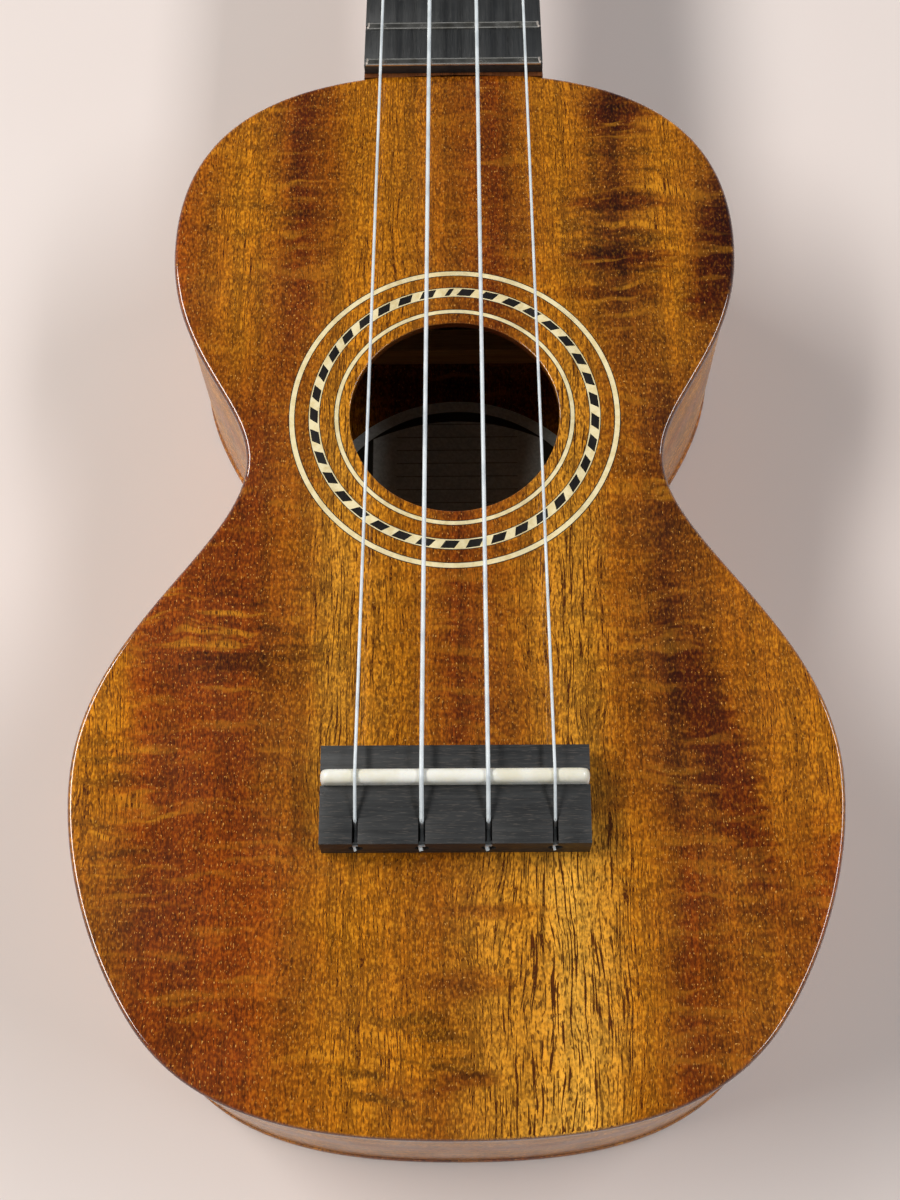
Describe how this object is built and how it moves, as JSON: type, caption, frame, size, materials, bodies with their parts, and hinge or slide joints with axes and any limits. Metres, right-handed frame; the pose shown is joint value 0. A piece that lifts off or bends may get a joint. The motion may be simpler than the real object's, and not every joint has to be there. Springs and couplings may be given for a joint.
{
  "type": "ukulele",
  "caption": "Soprano ukulele with a figured koa body, rope rosette, tie bridge, fretted neck and geared tuners whose buttons turn the string posts.",
  "frame": {"origin": "middle of the instrument's base: on the outside of the back, at the centre of the length and width", "axes": "+Y from the tail towards the headstock, +Z out of the soundboard, +X to the right seen from the front with the headstock up"},
  "size_m": [0.157, 0.5322, 0.0692],
  "materials": {
    "koa": "gloss",
    "neck_wood": "satin",
    "bracing_spruce": "matte",
    "label_paper": "matte",
    "inlay_maple": "gloss",
    "ebony": "satin",
    "bone": "satin",
    "fret_wire": "polished",
    "tuner_chrome": "polished",
    "tuner_button": "gloss",
    "string": "satin"
  },
  "bodies": {
    "instrument": {"soundboard": "koa", "back": "koa", "rib_left": "koa", "rib_right": "koa", "headplate": "koa", "neck": "neck_wood", "neck_block": "bracing_spruce", "tail_block": "bracing_spruce", "top_lining_left": "bracing_spruce", "top_lining_right": "bracing_spruce", "back_lining_left": "bracing_spruce", "back_lining_right": "bracing_spruce", "upper_top_brace": "bracing_spruce", "lower_top_brace": "bracing_spruce", "upper_back_brace": "bracing_spruce", "lower_back_brace": "bracing_spruce", "bridge_patch": "bracing_spruce", "fan_brace_left": "bracing_spruce", "fan_brace_centre": "bracing_spruce", "fan_brace_right": "bracing_spruce", "label": "label_paper", "rosette_inner_ring": "inlay_maple", "rosette_outer_ring": "inlay_maple", "rosette_rope_ring": "inlay_maple", "bridge": "ebony", "fretboard": "ebony", "saddle": "bone", "nut": "bone", "fret_1": "fret_wire", "fret_2": "fret_wire", "fret_3": "fret_wire", "fret_4": "fret_wire", "fret_5": "fret_wire", "fret_6": "fret_wire", "fret_7": "fret_wire", "fret_8": "fret_wire", "fret_9": "fret_wire", "fret_10": "fret_wire", "fret_11": "fret_wire", "fret_12": "fret_wire", "tuner_housing_1": "tuner_chrome", "tuner_housing_2": "tuner_chrome", "tuner_housing_3": "tuner_chrome", "tuner_housing_4": "tuner_chrome", "tuner_bushing_1": "tuner_chrome", "tuner_bushing_2": "tuner_chrome", "tuner_bushing_3": "tuner_chrome", "tuner_bushing_4": "tuner_chrome", "string_g": "string", "string_c": "string", "string_e": "string", "string_a": "string"},
    "button_1": {"tuner_button_1": "tuner_button"},
    "post_1": {"tuner_post_1": "tuner_chrome"},
    "button_2": {"tuner_button_2": "tuner_button"},
    "post_2": {"tuner_post_2": "tuner_chrome"},
    "button_3": {"tuner_button_3": "tuner_button"},
    "post_3": {"tuner_post_3": "tuner_chrome"},
    "button_4": {"tuner_button_4": "tuner_button"},
    "post_4": {"tuner_post_4": "tuner_chrome"}
  },
  "joints": [
    {"name": "button_turn_1", "type": "hinge", "parent": "instrument", "child": "button_1", "pos_m": [-0.018, 0.1817, 0.03401], "axis": [1, 0, 0], "continuous": true},
    {"name": "post_turn_1", "type": "hinge", "parent": "instrument", "child": "post_1", "pos_m": [-0.018, 0.19258, 0.0501], "axis": [0, 0.2079, 0.9781], "continuous": true},
    {"name": "button_turn_2", "type": "hinge", "parent": "instrument", "child": "button_2", "pos_m": [-0.018, 0.22083, 0.02569], "axis": [1, 0, 0], "continuous": true},
    {"name": "post_turn_2", "type": "hinge", "parent": "instrument", "child": "post_2", "pos_m": [-0.018, 0.23171, 0.04178], "axis": [0, 0.2079, 0.9781], "continuous": true},
    {"name": "button_turn_3", "type": "hinge", "parent": "instrument", "child": "button_3", "pos_m": [0.018, 0.22083, 0.02569], "axis": [1, 0, 0], "continuous": true},
    {"name": "post_turn_3", "type": "hinge", "parent": "instrument", "child": "post_3", "pos_m": [0.018, 0.23171, 0.04178], "axis": [0, 0.2079, 0.9781], "continuous": true},
    {"name": "button_turn_4", "type": "hinge", "parent": "instrument", "child": "button_4", "pos_m": [0.018, 0.1817, 0.03401], "axis": [1, 0, 0], "continuous": true},
    {"name": "post_turn_4", "type": "hinge", "parent": "instrument", "child": "post_4", "pos_m": [0.018, 0.19258, 0.0501], "axis": [0, 0.2079, 0.9781], "continuous": true}
  ],
  "couplings": [
    {"joint": "post_turn_1", "follows": "button_turn_1", "ratio": -0.0625},
    {"joint": "post_turn_2", "follows": "button_turn_2", "ratio": -0.0625},
    {"joint": "post_turn_3", "follows": "button_turn_3", "ratio": -0.0625},
    {"joint": "post_turn_4", "follows": "button_turn_4", "ratio": -0.0625}
  ]
}
